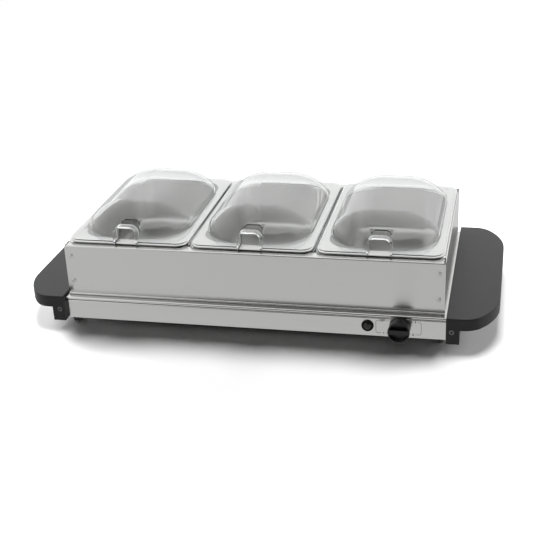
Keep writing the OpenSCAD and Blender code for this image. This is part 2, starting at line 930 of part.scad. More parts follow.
module handle_screws() {
  color("grey")
    for (sx = [-1, 1], sy = [-1, 1])
      translate([sx * handle_sx, sy * (handle_half - screw_recess), handle_sz])
        rotate([sy * 90, 0, 0])
          screw(screw_d, handle_over - screw_recess + screw_bite, handle_head_d, screw_head_h);
}

// Controls

module along_y(x, y, z) {
  translate([x, y, z])
    rotate([-90, 0, 0])
      children();
}

module thermostat_body() {
  color("#444444")
    difference() {
      union() {
        translate([knob_x - stat_w / 2, stat_y, knob_z - stat_h / 2])
          cube([stat_w, stat_l, stat_h]);
        along_y(knob_x, -inner_y + bush_gap, knob_z)
          cylinder(d = bush_d, h = bracket_gap - bush_gap + bracket_t + cut);
      }
      along_y(knob_x, -inner_y, knob_z)
        cylinder(d = shaft_d + 2 * shaft_fit, h = bracket_gap + bracket_t + stat_l / 2);
    }
}

module thermostat_bracket() {
  color("silver")
    difference() {
      union() {
        translate([knob_x - bracket_w / 2, bracket_y, floor_z])
          cube([bracket_w, bracket_t, panel_top - floor_z - 1]);
        translate([knob_x - bracket_w / 2, bracket_y, floor_z])
          cube([bracket_w, bracket_foot, bracket_t]);
      }
      along_y(knob_x, bracket_y - 1, knob_z)
        cylinder(d = bush_d + 2 * hole_clear, h = bracket_t + 2);
      at_bracket_screws()
        translate([0, 0, floor_z - 1])
          cylinder(d = screw_d + 2 * hole_clear, h = bracket_t + 2);
    }
}

module thermostat_nut() {
  color("grey")
    along_y(knob_x, bracket_y - nut_h, knob_z)
      nut(bush_nut_af, nut_h, bush_d + 2 * hole_clear);
}

module bracket_screws() {
  color("grey")
    at_bracket_screws()
      translate([0, 0, floor_z + bracket_t])
        mirror([0, 0, 1])
          screw(screw_d, bracket_t + panel_t + 0.6, screw_head_d, screw_head_h);
}

module shaft_section(d) {
  difference() {
    circle(d = d);
    translate([-d, d / 2 - shaft_flat])
      square([2 * d, d]);
  }
}

module thermostat_shaft() {
  color("grey") {
    along_y(knob_x, -half_d + 0.4, knob_z)
      cylinder(d = shaft_d, h = panel_t + bracket_gap + bracket_t + stat_l / 2 - 1.4);
    along_y(knob_x, knob_back - shaft_in_knob, knob_z)
      linear_extrude(shaft_in_knob + knob_gap + 0.4)
        shaft_section(shaft_d);
  }
}

module control_knob() {
  color("#1c1c1c")
    along_y(knob_x, knob_front, knob_z)
      difference() {
        rotate_extrude()
          polygon([[0, 0], [knob_front_d / 2 - 0.6, 0], [knob_front_d / 2, 0.6],
            [knob_d / 2 - 0.5, knob_l - 3], [knob_d / 2, knob_l - 2.6], [knob_d / 2, knob_l],
            [0, knob_l]]);
        for (s = [-1, 1])
          translate([0, 0, -1])
            linear_extrude(pocket_l + 1)
              intersection() {
                circle(d = knob_front_d - 2 * pocket_wall);
                translate([-knob_d, s * (knob_d + grip_t) / 2 - knob_d / 2])
                  square([2 * knob_d, knob_d]);
              }
        translate([0, 0, knob_l - knob_hollow])
          difference() {
            cylinder(d = knob_d - 4 * pocket_wall, h = knob_hollow + 1);
            translate([0, 0, -1])
              cylinder(d = hub_d, h = knob_hollow + 3);
          }
        translate([0, 0, knob_l - shaft_in_knob - 0.5])
          linear_extrude(shaft_in_knob + 1.5)
            shaft_section(shaft_d + 2 * shaft_fit);
      }
}

module lamp_bezel() {
  color("#181818")
    along_y(lamp_x, -half_d, lamp_z)
      difference() {
        union() {
          translate([0, 0, -bezel_t])
            cylinder(d1 = bezel_d - 1, d2 = bezel_d, h = bezel_t);
          cylinder(d = lamp_body_d, h = lamp_body_l);
        }
        translate([0, 0, -bezel_t - cut])
          cylinder(d = lens_d + 2 * seat_gap, h = bezel_t + cut + lens_seat);
        cylinder(d = lens_d - 2 * bezel_wall, h = lamp_body_l - bezel_wall);
      }
}

module lamp_lens() {
  rim = bezel_t + lens_seat;
  ball = (lens_d * lens_d / 4 + lens_crown * lens_crown) / (2 * lens_crown);
  color("#5a1a14")
    along_y(lamp_x, -half_d + lens_seat, lamp_z)
      mirror([0, 0, 1])
        rotate_extrude()
          intersection() {
            translate([0, rim + lens_crown - ball])
              circle(ball);
            square([lens_d / 2, rim + lens_crown]);
          }
}

module neon_lamp() {
  color("orange")
    along_y(lamp_x, -half_d + lens_seat + bezel_wall, lamp_z)
      rotate_extrude()
        intersection() {
          union() {
            translate([0, neon_d / 2])
              circle(d = neon_d);
            translate([0, neon_d / 2])
              square([neon_d / 2, lamp_body_l - lens_seat - 2 * bezel_wall - neon_d / 2]);
          }
          square([neon_d, lamp_body_l]);
        }
}

module lamp_clip() {
  color("grey")
    along_y(lamp_x, -inner_y, lamp_z)
      difference() {
        cylinder(d = bezel_d + 2, h = 1.6);
        translate([0, 0, -1])
          cylinder(d = lamp_body_d + 2 * hole_clear, h = 4);
      }
}

// Wiring

stat_rear = stat_y + stat_l;
wire_z = knob_z - stat_h / 4;
fuse_x = pin_x + lead_out;
fuse_y = -1.5 * tube_pitch - lead_out - lead_low / 2;
fuse_z = tube_z - 2 * lead_bend - lead_low / 2;
lamp_rear = -half_d + lamp_body_l;
low_z = floor_z + lead_low;
front_y = -shield_d / 2 - lead_out / 2 - lead_low / 2;
lane_x = fuse_x + 2 * lead_low;

module thermal_fuse() {
  color("lightgrey")
    along_y(fuse_x, fuse_y - fuse_l, fuse_z)
      cylinder(d = fuse_d, h = fuse_l);
}

module terminal_block() {
  color("ivory")
    difference() {
      translate([gland_x - block_w / 2, block_y - block_d / 2, floor_z])
        cube([block_w, block_d, block_h]);
      for (i = [-1, 0, 1])
        translate([gland_x + i * block_w / 3, block_y + block_d / 3, floor_z + block_h / 2])
          cylinder(d = block_screw_d + 2 * hole_clear, h = block_h);
      for (i = [-0.5, 0.5])
        translate([gland_x + i * block_w / 3 - 0.75, block_y - block_d, floor_z + block_h * 0.7])
          cube([1.5, 2 * block_d, block_h]);
      at_block_screw() {
        translate([0, 0, floor_z - 1])
          cylinder(d = screw_d + 2 * hole_clear, h = block_h + 2);
        translate([0, 0, floor_z + block_h / 2])
          cylinder(d = screw_head_d + 0.6, h = block_h);
      }
    }
}

module terminal_screws() {
  color("goldenrod") {
    for (i = [-1, 0, 1])
      translate([gland_x + i * block_w / 3, block_y + block_d / 3, floor_z + block_h / 2])
        cylinder(d = block_screw_d, h = block_h / 2 - cut);
    at_block_screw()
      translate([0, 0, floor_z + block_h / 2])
        mirror([0, 0, 1])
          screw(screw_d, block_h / 2 + panel_t + 0.4, screw_head_d, screw_head_h);
  }
}

module earth_screw() {
  color("goldenrod")
    translate([earth_x, earth_y, floor_z])
      mirror([0, 0, 1])
        screw(screw_d, panel_t + 0.6, screw_head_d, screw_head_h);
}

module cord_gland() {
  color("#1e1e1e")
    along_y(gland_x, half_d, gland_z)
      rotate_extrude()
        difference() {
          polygon([[0, -gland_in], [gland_d / 2, -gland_in], [gland_d / 2, 0],
            [gland_collar_d / 2, 0], [gland_collar_d / 2, 1.6], [gland_collar_d / 2 - 0.6, 2.2],
            [gland_d / 2 + 0.4, 2.2], [gland_end_d / 2, gland_tail], [0, gland_tail]]);
          translate([0, -gland_in - 1])
            square([cord_d / 2, gland_in + gland_tail + 2]);
          for (i = [1:4])
            translate([gland_end_d / 2 + 0.2, 2.2 + i * gland_tail / 6])
              square([gland_d, gland_tail / 14]);
        }
}

module gland_nut() {
  color("#1e1e1e")
    along_y(gland_x, inner_y - 3, gland_z)
      nut(gland_d + 4.5, 3, gland_d + 2 * hole_clear);
}

module lead_live() {
  x = knob_x + stat_w / 4;
  y = block_y - block_d * 0.35;
  color("saddlebrown")
    lead([[block_side, y, wire_z], [x, y, wire_z], [x, stat_rear, wire_z]]);
}

module lead_switched() {
  x = knob_x - stat_w / 4;
  y = stat_rear + lead_out;
  color("saddlebrown")
    lead([[x, stat_rear, fuse_z], [x, y, fuse_z], [fuse_x, y, fuse_z],
      [fuse_x, fuse_y - fuse_l, fuse_z]]);
}

module lead_fused() {
  y = -1.5 * tube_pitch;
  color("saddlebrown")
    lead([[fuse_x, fuse_y, fuse_z], [fuse_x, y, fuse_z], [fuse_x, y, tube_z], [pin_x, y, tube_z]]);
}

module lead_neutral() {
  y = 1.5 * tube_pitch;
  color("royalblue")
    lead([[block_side, block_y, wire_z], [fuse_x, block_y, wire_z], [fuse_x, y, wire_z],
      [fuse_x, y, tube_z], [pin_x, y, tube_z]]);
}

module lead_lamp() {
  x = knob_x - stat_w / 2;
  y = lamp_rear + lead_out;
  z = lamp_z + lamp_pin;
  in_y = stat_y + stat_l / 2;
  color("saddlebrown")
    lead([[lamp_x, lamp_rear, z], [lamp_x, y, z], [x - lead_out, y, z], [x - lead_out, in_y, z],
      [x, in_y, z]]);
}

module lead_lamp_return() {
  z = lamp_z - lamp_pin;
  color("royalblue")
    lead([[lamp_x, lamp_rear, z], [lamp_x, front_y, z], [lamp_x, front_y, low_z],
      [lane_x, front_y, low_z], [lane_x, block_y, low_z], [block_side, block_y, low_z]]);
}

module lead_earth() {
  z = floor_z + lead_d / 2 + seat_gap;
  color("yellowgreen")
    lead([[earth_x - screw_head_d / 2 - seat_gap, earth_y, z], [block_side, earth_y, z]]);
}

// Frame

module frame_front_blank() {
  reach = frame_w / 2 + 1;
  difference() {
    translate([-frame_w / 2, -frame_d / 2, plate_top])
      rotate([90, 0, 90])
        linear_extrude(frame_w)
          folded(frame_h, frame_top_y, frame_low, frame_t, frame_bend);
    for (s = [-1, 1]) {
      translate([s * (reach + frame_w / 2 - notch_w) - reach, -frame_d / 2 + frame_t,
        frame_top - 2 * frame_bend])
        cube([2 * reach, frame_top_y + 1, 3 * frame_bend]);
      translate([s * (reach + frame_w / 2 - tab_w - flange_gap) - reach, -frame_d / 2 + frame_t,
        plate_top - frame_bend])
        cube([2 * reach, frame_low + 1, 3 * frame_bend]);
    }
    rivet_holes();
  }
}

module at_rivets() {
  for (sx = [-1, 1], z = [rivet_low, rivet_high])
    translate([sx * (frame_w / 2 - rivet_inset), -frame_d / 2, plate_top + z])
      rotate([-90, 0, 0])
        children();
}

module rivet_holes() {
  at_rivets()
    translate([0, 0, -1])
      cylinder(d = rivet_d + 2 * hole_clear, h = 2 * frame_t + 2);
}

module frame_front() {
  color("silver")
    frame_front_blank();
}

module frame_rear() {
  color("silver")
    mirror([0, 1, 0])
      frame_front_blank();
}

module frame_left() {
  end_d = frame_d - 2 * frame_t;
  flange_d = frame_d - 2 * (frame_top_y + flange_gap);
  web_d = end_d - 2 * frame_bend;
  color("silver")
    difference() {
      union() {
        translate([-frame_w / 2, flange_d / 2, plate_top])
          rotate([90, 0, 0])
            linear_extrude(flange_d)
              folded(frame_h, frame_top_x, frame_low, frame_t, frame_bend);
        for (s = [-1, 1])
          translate([-frame_w / 2, s * (web_d + flange_d) / 4 - (web_d - flange_d) / 4, plate_top])
            cube([frame_t, (web_d - flange_d) / 2, frame_h]);
        translate([-frame_w / 2, -end_d / 2, plate_top + tab_inset])
          linear_extrude(frame_h - 2 * tab_inset)
            folded(end_d, tab_w, tab_w, frame_t, frame_bend);
      }
      rivet_holes();
      mirror([0, 1, 0])
        rivet_holes();
    }
}

module frame_right() {
  mirror([1, 0, 0])
    frame_left();
}

module rivet() {
  translate([0, 0, seat_gap])
    cylinder(d = rivet_d, h = 2 * frame_t - 2 * seat_gap);
  mirror([0, 0, 1])
    rotate_extrude()
      oval_quarter(rivet_head_d / 2, rivet_head_h, rivet_head_h / 2);
  cylinder(d = rivet_d, h = 2 * frame_t + 0.1);
  translate([0, 0, 2 * frame_t])
    cylinder(d = rivet_d * 1.45, h = rivet_head_h);
}

module frame_rivets() {
  color("gainsboro")
    for (m = [0, 1])
      mirror([0, m, 0])
        at_rivets()
          rivet();
}

// Pans

// Solid half section of the tub from the corner's axis outwards, with the rim at zero.
module tub_solid(r, depth, fillet, up) {
  cz = fillet - depth;
  cr = r - (fillet - cz * sin(tub_slope)) / cos(tub_slope);
  nx = cos(tub_slope);
  nz = -sin(tub_slope);
  polygon([[0, -depth], [cr, -depth], [cr, cz], [cr + fillet * nx, cz + fillet * nz],
    [r + up * tan(tub_slope), up], [0, up]]);
  translate([cr, cz])
    intersection() {
      circle(fillet);
      polygon([[0, 0], [0, -2 * fillet], [2 * fillet, -2 * fillet], [2 * fillet * nx, 2 * fillet * nz]]);
    }
}

module tub_section() {
  difference() {
    tub_solid(tub_corner, tub_depth, tub_fillet, 0);
    tub_solid(tub_corner - pan_t / cos(tub_slope), tub_depth - pan_t, tub_fillet - pan_t, 1);
  }
}

// Section of the rim's edge: a round turn and the lip below it.
module lip_section() {
  translate([pan_corner - pan_bend, -pan_bend])
    bend(pan_t, pan_bend);
  translate([pan_corner - pan_t, -lip_h])
    square([pan_t, lip_h - pan_bend]);
}

module pan() {
  hx = tub_w / 2 - tub_corner;
  hy = tub_d / 2 - tub_corner;
  lip_x = pan_w / 2 - pan_corner;
  lip_y = pan_d / 2 - pan_corner;
  translate([0, 0, rim_top]) {
    swept_front(hx, hy)
      tub_section();
    swept_rest(hx, hy, -tub_depth, pan_t - tub_depth)
      tub_section();
    translate([0, 0, -pan_t])
      linear_extrude(pan_t)
        difference() {
          rounded(pan_w - 2 * pan_bend, pan_d - 2 * pan_bend, pan_corner - pan_bend);
          rounded(tub_w - pan_t, tub_d - pan_t, tub_corner - pan_t / 2);
        }
    swept_front(lip_x, lip_y)
      lip_section();
    swept_others(lip_x, lip_y)
      lip_section();
  }
}

module pan_left() {
  color("lightgrey")
    translate([-pan_pitch, 0, 0])
      pan();
}

module pan_centre() {
  color("lightgrey")
    pan();
}

module pan_right() {
  color("lightgrey")
    translate([pan_pitch, 0, 0])
      pan();
}

// Lids

// Upright arch outline with its foot on the X axis.
module arch(w, h, r) {
  translate([-w / 2, 0])
    square([w, h - r]);
  translate([r - w / 2, h - r])
    square([w - 2 * r, r]);
  translate([w / 2 - r, h - r])
    quarter(r);
  translate([r - w / 2, h - r])
    rotate(90)
      quarter(r);
}

module arch_block(w, h, r, l) {
  translate([0, l - lid_d / 2, 0])
    rotate([90, 0, 0])
      linear_extrude(l)
        arch(w, h, r);
}

// Crown of the dome's wall: the wide arc of its section.
module dome_crown() {
  intersection() {
    translate([0, dome_h - dome_wide])
      difference() {
        circle(dome_wide);
        circle(dome_wide - lid_t);
      }
    polygon([[0, 0], [dome_cx, 0], [dome_cx + dome_far * dome_ux, dome_far * dome_uy],
      [0, 2 * dome_far]]);
  }
}

// Foot of the dome's wall: the tight arc of its section.
module dome_foot() {
  intersection() {
    translate([dome_cx, 0])
      difference() {
        circle(dome_foot_r);
        circle(dome_foot_r - lid_t);
      }
    polygon([[dome_cx, 0], [dome_cx + dome_far, 0],
      [dome_cx + dome_far * dome_ux, dome_far * dome_uy]]);
  }
}

module spoon_slot() {
  translate([0, -1, -skirt_h - 1])
    arch_block(slot_w, slot_h + skirt_h + 1, slot_r, slot_depth + 1);
}

// Round turn at the lid's edge.
module edge_turn() {
  translate([lid_corner - lid_edge_r, lid_t - lid_edge_r])
    bend(lid_t, lid_edge_r);
}

// Skirt below the turn.
module edge_skirt() {
  translate([lid_corner - lid_t, -skirt_h])
    square([lid_t, skirt_h + lid_t - lid_edge_r]);
}

module lid_flange() {
  edge_x = lid_w / 2 - lid_corner;
  edge_y = lid_d / 2 - lid_corner;
  difference() {
    union() {
      linear_extrude(lid_t)
        difference() {
          rounded(lid_w - 2 * lid_edge_r, lid_d - 2 * lid_edge_r, lid_corner - lid_edge_r);
          rounded(dome_w - lid_t, dome_d - lid_t, dome_r - lid_t / 2);
        }
      arch_block(slot_w + 2 * hoop_t, slot_h + hoop_t, slot_r + hoop_t, hoop_depth);
      translate([0, 0, -skirt_h])
        arch_block(slot_w + 2 * hoop_t, slot_h + hoop_t + skirt_h, slot_r + hoop_t, lid_t);
    }
    spoon_slot();
  }
  difference() {
    swept_front(edge_x, edge_y)
      edge_turn();
    spoon_slot();
  }
  difference() {
    swept_front(edge_x, edge_y)
      edge_skirt();
    spoon_slot();
  }
  swept_others(edge_x, edge_y)
    union() {
      edge_turn();
      edge_skirt();
    }
}

module lid() {
  hx = dome_w / 2 - dome_r;
  hy = dome_d / 2 - dome_r;
  translate([0, 0, rim_top + lid_rest]) {
    difference() {
      swept_front(hx, hy)
        dome_crown();
      spoon_slot();
    }
    difference() {
      swept_front(hx, hy)
        dome_foot();
      spoon_slot();
    }
    swept_rest(hx, hy, dome_h - lid_t, dome_h)
      union() {
        dome_crown();
        dome_foot();
      }
    lid_flange();
  }
}

module lid_left() {
  color("white", 0.4)
    translate([-pan_pitch, 0, 0])
      lid();
}

module lid_centre() {
  color("white", 0.4)
    lid();
}

module lid_right() {
  color("white", 0.4)
    translate([pan_pitch, 0, 0])
      lid();
}

warming_plate();
plate_studs();
stud_nuts();
heat_spreader();
heating_element();
element_pins();
element_clamps();
clamp_studs();
clamp_nuts();
heat_shield();
shield_screws();
front_panel();
rear_panel();
bottom_cover();
cover_screws();
rubber_feet();
foot_screws();
left_handle();
right_handle();
handle_screws();
thermostat_body();
thermostat_bracket();
thermostat_nut();
bracket_screws();
lamp_bezel();
lamp_lens();
neon_lamp();
lamp_clip();
thermal_fuse();
terminal_block();
terminal_screws();
earth_screw();
cord_gland();
gland_nut();
lead_live();
lead_switched();
lead_fused();
lead_neutral();
lead_lamp();
lead_lamp_return();
lead_earth();
thermostat_shaft();
control_knob();
frame_front();
frame_rear();
frame_left();
frame_right();
frame_rivets();
pan_left();
pan_centre();
pan_right();
lid_left();
lid_centre();
lid_right();
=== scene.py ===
# %% [markdown]
# An electric buffet server, dressed for its portrait. The solids come from the part's own source and carry
# every real size. This lesson gives them finishes, rounds the edges that catch the light and adds the small
# things that a mould, a press or a printing pad leaves behind. Sizes are in millimetres unless a line says
# otherwise.

# %% Load the solids
import json
import math
import bpy
from mathutils import Matrix, Vector


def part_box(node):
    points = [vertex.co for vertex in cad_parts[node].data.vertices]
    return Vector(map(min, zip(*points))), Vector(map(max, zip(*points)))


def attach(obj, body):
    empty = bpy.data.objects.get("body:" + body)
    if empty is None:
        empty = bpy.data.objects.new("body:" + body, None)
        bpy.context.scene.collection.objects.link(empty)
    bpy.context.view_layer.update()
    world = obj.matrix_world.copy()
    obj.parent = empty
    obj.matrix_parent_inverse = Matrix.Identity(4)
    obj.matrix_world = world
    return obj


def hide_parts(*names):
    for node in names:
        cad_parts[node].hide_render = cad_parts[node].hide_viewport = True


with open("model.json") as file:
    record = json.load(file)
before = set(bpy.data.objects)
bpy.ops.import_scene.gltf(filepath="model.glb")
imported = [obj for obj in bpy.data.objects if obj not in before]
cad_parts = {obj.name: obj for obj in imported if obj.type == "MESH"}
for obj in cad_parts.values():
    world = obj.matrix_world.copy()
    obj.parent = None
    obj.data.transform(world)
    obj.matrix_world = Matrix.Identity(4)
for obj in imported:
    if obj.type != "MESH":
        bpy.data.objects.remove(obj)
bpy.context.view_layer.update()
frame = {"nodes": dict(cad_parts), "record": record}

MM = 0.001
NODES = frame["nodes"]

# %% [markdown]
# The camera comes first, because it decides what has to look right. Its place was worked out from the
# corners of the frame, the plate and the panel: a long lens, some 25 degrees above the table, 13 degrees to
# the right of straight ahead, and tilted by two and a half degrees.

# %% Camera
TURN, RISE, ROLL = (math.radians(a) for a in (12.883, 24.829, -2.496))
SPOT = Vector((22.451, -57.043, 37.0)) * MM
FAR = 1500.16 * MM
LENS, SENSOR = 71.02, 36.0

back = Vector((math.sin(TURN) * math.cos(RISE), -math.cos(TURN) * math.cos(RISE), math.sin(RISE)))
level = Vector((0, 0, 1)).cross(back).normalized()
upright = back.cross(level)
right = math.cos(ROLL) * level + math.sin(ROLL) * upright
up = math.cos(ROLL) * upright - math.sin(ROLL) * level
turned = Matrix((right, up, back)).transposed().to_4x4()
lens = bpy.data.cameras.new("portrait_lens")
lens.lens = LENS
lens.sensor_width = SENSOR
camera = bpy.data.objects.new("portrait_camera", lens)
camera.matrix_world = Matrix.Translation(SPOT + FAR * back) @ turned
bpy.context.scene.collection.objects.link(camera)
bpy.context.scene.camera = camera
print("camera at mm:", [round(c / MM) for c in camera.matrix_world.translation])

# %% [markdown]
# Every finish below is a node tree. One small function adds a node, sets its values and links its inputs.
# Another turns a colour from a paint chart's hex code into the linear numbers that light adds up in.

# %% Helpers for finishes
def linear(code):
    parts = [int(code[i:i + 2], 16) / 255 for i in (1, 3, 5)]
    return [c / 12.92 if c <= 0.04045 else ((c + 0.055) / 1.055) ** 2.4 for c in parts] + [1.0]


def add(tree, kind, values=None, links=None, **settings):
    made = tree.nodes.new(kind)
    for key, value in settings.items():
        setattr(made, key, value)
    for key, value in (values or {}).items():
        made.inputs[key].default_value = value
    for key, socket in (links or {}).items():
        tree.links.new(socket, made.inputs[key])
    return made


def finish(name, colour, metallic, roughness, **sockets):
    material = bpy.data.materials.new(name)
    material.use_nodes = True
    tree = material.node_tree
    shader = tree.nodes["Principled BSDF"]
    shader.inputs["Base Color"].default_value = linear(colour)
    shader.inputs["Metallic"].default_value = metallic
    shader.inputs["Roughness"].default_value = roughness
    for key, value in sockets.items():
        shader.inputs[key.replace("_", " ")].default_value = value
    return material, tree, shader


def per_mm(size):
    return 1 / (size * MM)


print("middle grey in linear light:", round(linear("#808080")[0], 3))

# %% [markdown]
# The floor is a wide sheet of white backdrop paper. It carries the server's shadow, for the eye and for matt
# surfaces. Steel would mirror that shadow as a black stripe, so a ray that comes straight from a mirror finds
# an even, slightly grey glow in the paper's place.

# %% Paper floor
FLOOR_SIDE, FLOOR_BACK = 14, 2    # metres
PAPER_IN_STEEL = 0.70
NO_BOUNCE = 0.5                   # a ray below this diffuse depth has met no matt surface yet


def select_none():
    if bpy.context.object and bpy.context.object.mode != "OBJECT":
        bpy.ops.object.mode_set(mode="OBJECT")
    bpy.ops.object.select_all(action="DESELECT")


select_none()
bpy.ops.mesh.primitive_grid_add(x_subdivisions=4, y_subdivisions=4, size=FLOOR_SIDE,
                                location=(0, FLOOR_BACK, 0))
floor = bpy.context.object
floor.name = floor.data.name = "paper_floor"
bpy.ops.object.transform_apply()
paper, tree, shader = finish("white_backdrop_paper", "#f4f4f4", 0.0, 0.9, Specular_IOR_Level=0.0)
ray = add(tree, "ShaderNodeLightPath")
first = add(tree, "ShaderNodeMath", {1: NO_BOUNCE}, {0: ray.outputs["Diffuse Depth"]}, operation="LESS_THAN")
seen = add(tree, "ShaderNodeMath", links={0: ray.outputs["Is Glossy Ray"], 1: first.outputs[0]},
           operation="MULTIPLY")
glow = add(tree, "ShaderNodeEmission", {"Strength": PAPER_IN_STEEL})
choose = add(tree, "ShaderNodeMixShader", None,
             {0: seen.outputs[0], 1: shader.outputs[0], 2: glow.outputs[0]})
tree.links.new(choose.outputs[0], tree.nodes["Material Output"].inputs["Surface"])
floor.data.materials.append(paper)
print("floor of", FLOOR_SIDE, "metres")

# %% [markdown]
# The world is a white tent round the stage. It gives little light of its own, so the shadow stays dark, but
# the eye and clear plastic see it white. Mirrors see it white too, a little brighter behind the server, apart
# from a dark patch low in front, as of an unlit room: without it, bright steel has no drawing. The patch stays
# dark for light that was mirrored twice on its way through clear plastic.

# %% Studio tent
SKY_FOR_LIGHT, DARK_ROOM, BRIGHT_WALL = 0.07, 0.03, 1.25
PATCH_EDGE, PATCH_SOFT = (0.940, -0.342, 0.0), 0.06    # the way across the patch's left edge
FRONT_START, FRONT_FULL = -0.10, -0.30
TOP_START, TOP_FULL = 0.86, 0.76
WALL_START, WALL_FULL = 0.0, 0.2
SECOND_MIRROR = 1.5                                    # a glossy depth above this is a second mirror

world = bpy.data.worlds.new("studio_tent")
bpy.context.scene.world = world
world.use_nodes = True
tree = world.node_tree
ray = add(tree, "ShaderNodeLightPath")
seen = add(tree, "ShaderNodeMath", links={0: ray.outputs["Is Camera Ray"], 1: ray.outputs["Is Glossy Ray"]},
           operation="MAXIMUM")
seen = add(tree, "ShaderNodeMath", links={0: seen.outputs[0], 1: ray.outputs["Is Transmission Ray"]},
           operation="MAXIMUM")
first = add(tree, "ShaderNodeMath", {1: NO_BOUNCE}, {0: ray.outputs["Diffuse Depth"]}, operation="LESS_THAN")
seen = add(tree, "ShaderNodeMath", links={0: seen.outputs[0], 1: first.outputs[0]}, operation="MULTIPLY")
place = add(tree, "ShaderNodeTexCoord")
axes = add(tree, "ShaderNodeSeparateXYZ", None, {0: place.outputs["Generated"]})
edge = add(tree, "ShaderNodeVectorMath", {1: PATCH_EDGE}, {0: place.outputs["Generated"]},
           operation="DOT_PRODUCT")
sideways = add(tree, "ShaderNodeMapRange", {"From Min": -PATCH_SOFT, "From Max": PATCH_SOFT},
               {"Value": edge.outputs["Value"]})
in_front = add(tree, "ShaderNodeMapRange", {"From Min": FRONT_START, "From Max": FRONT_FULL},
               {"Value": axes.outputs[1]})
below_lamp = add(tree, "ShaderNodeMapRange", {"From Min": TOP_START, "From Max": TOP_FULL},
                 {"Value": axes.outputs[2]})
dark = add(tree, "ShaderNodeMath", links={0: sideways.outputs[0], 1: in_front.outputs[0]},
           operation="MULTIPLY")
dark = add(tree, "ShaderNodeMath", links={0: dark.outputs[0], 1: below_lamp.outputs[0]}, operation="MULTIPLY")
twice = add(tree, "ShaderNodeMath", {1: SECOND_MIRROR}, {0: ray.outputs["Glossy Depth"]},
            operation="GREATER_THAN")
mirrored = add(tree, "ShaderNodeMath", links={0: twice.outputs[0], 1: ray.outputs["Is Glossy Ray"]},
               operation="MAXIMUM")
dark = add(tree, "ShaderNodeMath", links={0: dark.outputs[0], 1: mirrored.outputs[0]}, operation="MULTIPLY")
behind = add(tree, "ShaderNodeMapRange",
             {"From Min": WALL_START, "From Max": WALL_FULL, "To Min": 1.0, "To Max": BRIGHT_WALL},
             {"Value": axes.outputs[1]})
shown = add(tree, "ShaderNodeMix", {3: DARK_ROOM}, {0: dark.outputs[0], 2: behind.outputs[0]})
strength = add(tree, "ShaderNodeMix", {2: SKY_FOR_LIGHT}, {0: seen.outputs[0], 3: shown.outputs[0]})
tree.links.new(strength.outputs[0], tree.nodes["Background"].inputs["Strength"])
tree.nodes["Background"].inputs["Color"].default_value = (1, 1, 1, 1)
print("tent nodes:", len(tree.nodes))

# %% [markdown]
# One strong, broad softbox stands high behind the server and lays a short shadow towards the viewer. Two weak
# lamps, low behind at the sides, lift the floor there. None of them shows in the steel, whose drawing comes
# from the tent alone.

# %% Lamps
SOFTBOX_POWER, SOFTBOX_SPREAD = 3.8, math.radians(26)
SOFTBOX_TILT = (math.radians(-32), math.radians(-5), 0)
FILL_SIDE = 0.5                                        # metres, as are the lamps' places
FILLS = (("left_fill", 60, (-1.15, 0.75, 0.28)), ("right_fill", 22, (1.15, 0.75, 0.28)))


def hang_lamp(name, kind, power):
    light = bpy.data.lights.new(name, kind)
    light.energy = power
    hung = bpy.data.objects.new(name, light)
    hung.visible_glossy = False
    hung.visible_transmission = False
    bpy.context.scene.collection.objects.link(hung)
    return hung


softbox = hang_lamp("overhead_softbox", "SUN", SOFTBOX_POWER)
softbox.data.angle = SOFTBOX_SPREAD
softbox.rotation_euler = SOFTBOX_TILT
for name, power, place in FILLS:
    fill = hang_lamp(name, "AREA", power)
    fill.data.size = FILL_SIDE
    fill.location = place
    fill.rotation_euler = Vector(place).to_track_quat("Z", "Y").to_euler()
bpy.context.scene.view_settings.view_transform = "Standard"
print("lamps hung:", 1 + len(FILLS))

# %% [markdown]
# Stainless sheet. Bright cold-rolled steel is a mirror that the mill's rolls have scored along its length:
# reflections stay sharp along the lines and smear across them. That smear is an anisotropic gloss, whose
# tangent lies in the sheet at right angles to the length. The real lines are under a tenth of a millimetre
# apart; the streaks drawn here are about a millimetre wide, so that they show at this distance.

# %% Rolled stainless
NOISE_LOW, NOISE_HIGH = 0.3, 0.7    # the span that nearly all of a noise falls in
LENGTHWISE = (1.0, 0.02, 0.0)       # a little askew, so that end faces get a tangent too
SCORE_DEPTH = 0.02


def rolled_steel(name, colour, streak, width, smooth, rough, relief, smear):
    material, tree, shader = finish(name, colour, 1.0, smooth, Anisotropic=smear)
    facing = add(tree, "ShaderNodeNewGeometry")
    across = add(tree, "ShaderNodeVectorMath", {1: LENGTHWISE}, {0: facing.outputs["Normal"]},
                 operation="CROSS_PRODUCT")
    tree.links.new(across.outputs[0], shader.inputs["Tangent"])
    place = add(tree, "ShaderNodeTexCoord")
    stretch = add(tree, "ShaderNodeMapping", {"Scale": (per_mm(streak), per_mm(width), per_mm(width))},
                  {"Vector": place.outputs["Object"]})
    lines = add(tree, "ShaderNodeTexNoise", {"Scale": 1.0, "Detail": 3.0}, {"Vector": stretch.outputs[0]})
    gloss = add(tree, "ShaderNodeMapRange",
                {"From Min": NOISE_LOW, "From Max": NOISE_HIGH, "To Min": smooth, "To Max": rough},
                {"Value": lines.outputs[0]})
    tree.links.new(gloss.outputs[0], shader.inputs["Roughness"])
    bump = add(tree, "ShaderNodeBump", {"Strength": relief, "Distance": SCORE_DEPTH * MM},
               {"Height": lines.outputs[0]})
    tree.links.new(bump.outputs[0], shader.inputs["Normal"])
    return material


